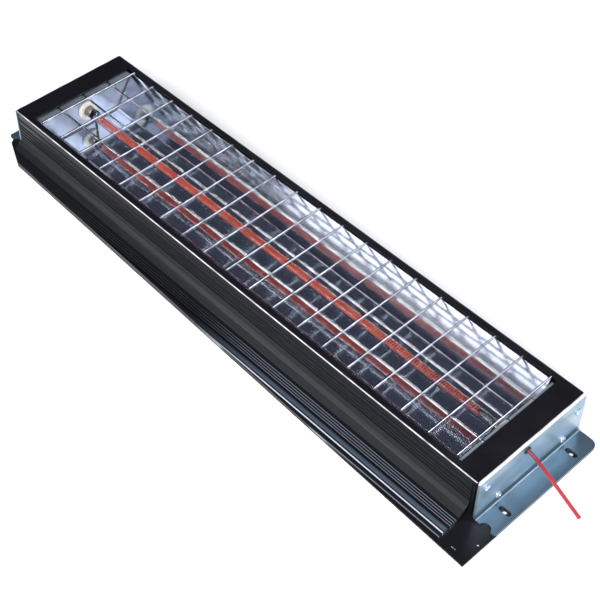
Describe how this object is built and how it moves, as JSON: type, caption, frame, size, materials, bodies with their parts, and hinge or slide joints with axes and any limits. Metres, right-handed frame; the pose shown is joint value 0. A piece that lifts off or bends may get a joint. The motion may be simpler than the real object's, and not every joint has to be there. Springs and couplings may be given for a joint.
{
  "type": "infrared strip heater",
  "caption": "Linear quartz-lamp food warming heater, black box with polished reflector, wire guard, fluted apron and slotted mounting feet",
  "frame": {"origin": "underside of the base plate, below the middle of the open face", "axes": "+X along the lamp towards the end where the supply lead leaves, +Z out of the open face, +Y away from the fluted apron"},
  "size_m": [0.7988, 0.1935, 0.058],
  "materials": {
    "black_paint": "satin near-black paint with a faint purple tint",
    "apron_finish": "dark grey anodised fluted extrusion",
    "zinc": "pale blue bright-zinc plated sheet steel",
    "screw_zinc": "bright zinc plated screws",
    "rivet": "aluminium blind rivets",
    "reflector": "polished aluminium reflector",
    "guard_chrome": "chromed steel wire",
    "quartz": "clear fused quartz",
    "coil_wire": "orange-red resistance wire",
    "nickel": "nickel contact parts",
    "clip_steel": "blued spring steel",
    "ceramic": "cream glazed ceramic",
    "silicone": "red silicone lead sheath",
    "grommet": "black rubber",
    "core_wire": "white high-temperature wire",
    "brass_screw": "brass clamp screw"
  },
  "bodies": {
    "heater": {"base_plate": "black_paint", "housing_channel": "black_paint", "rim_near": "black_paint", "rim_far": "black_paint", "end_cover_left": "black_paint", "end_cover_right": "black_paint", "apron_extrusion": "apron_finish", "end_bracket_left": "zinc", "end_bracket_right": "zinc", "bracket_screws_left": "screw_zinc", "bracket_screws_right": "screw_zinc", "base_rivets": "rivet", "reflector_trough": "reflector", "reflector_end_left": "reflector", "reflector_end_right": "reflector", "reflector_saddles": "zinc", "guard_cross_wires": "guard_chrome", "guard_long_wires": "guard_chrome", "quartz_tube": "quartz", "heating_coil": "coil_wire", "coil_leads": "nickel", "lamp_cap_left": "nickel", "lamp_cap_right": "nickel", "lamp_clip": "clip_steel", "lamp_button_left": "nickel", "lamp_button_right": "nickel", "ceramic_bush_left": "ceramic", "ceramic_bush_right": "ceramic", "contact_holder_left": "ceramic", "contact_holder_right": "ceramic", "contact_spring_left": "nickel", "contact_spring_right": "nickel", "supply_lead": "silicone", "inner_lead": "silicone", "lead_grommet": "grommet", "link_wire": "core_wire", "return_wire": "core_wire", "terminal_block": "ceramic", "terminal_screw": "brass_screw"},
    "plunger_left": {"contact_plunger_left": "nickel"},
    "plunger_right": {"contact_plunger_right": "nickel"}
  },
  "joints": [
    {"name": "contact_push_left", "type": "slide", "parent": "heater", "child": "plunger_left", "axis": [-1, 0, 0], "range_m": [0, 0.0038], "stiffness_N_per_m": 400, "springref_m": -0.002, "deforming": ["contact_spring_left"]},
    {"name": "contact_push_right", "type": "slide", "parent": "heater", "child": "plunger_right", "axis": [1, 0, 0], "range_m": [0, 0.0038], "stiffness_N_per_m": 400, "springref_m": -0.002, "deforming": ["contact_spring_right"]}
  ]
}
